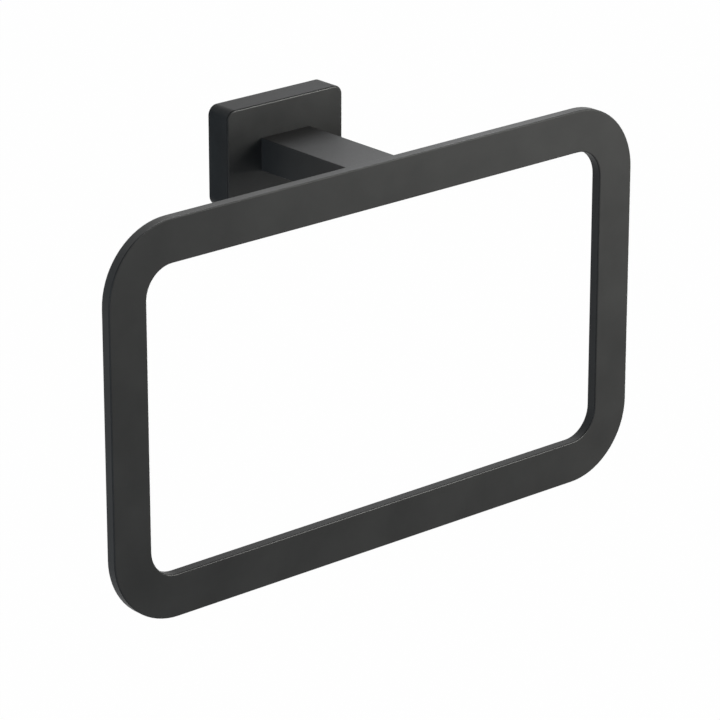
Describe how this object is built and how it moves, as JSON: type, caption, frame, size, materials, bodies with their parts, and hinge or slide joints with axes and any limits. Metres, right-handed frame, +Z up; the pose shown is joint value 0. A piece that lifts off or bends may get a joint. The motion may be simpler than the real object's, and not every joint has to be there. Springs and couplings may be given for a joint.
{
  "type": "towel ring",
  "caption": "Wall-mounted towel ring: a flat rectangular ring on a rectangular post, with a rectangular wall cover over a hidden slotted bracket.",
  "frame": {"origin": "on the wall, at the middle of the wall bracket's back face, behind the middle of the cover", "axes": "+X along the ring to the right as seen from the front, +Y into the wall, +Z up; the ring stands out towards -Y"},
  "size_m": [0.227, 0.06, 0.1464],
  "materials": {
    "black_powder_coat": "matte black powder coat",
    "zinc_plate": "zinc-plated sheet steel",
    "screw_steel": "zinc-plated steel",
    "black_oxide": "black oxide steel"
  },
  "bodies": {
    "root": {"ring": "black_powder_coat", "post": "black_powder_coat", "wall_cover": "black_powder_coat", "wall_bracket": "zinc_plate", "grub_screw": "black_oxide", "post_screws": "screw_steel", "lock_washers": "screw_steel"}
  },
  "joints": []
}
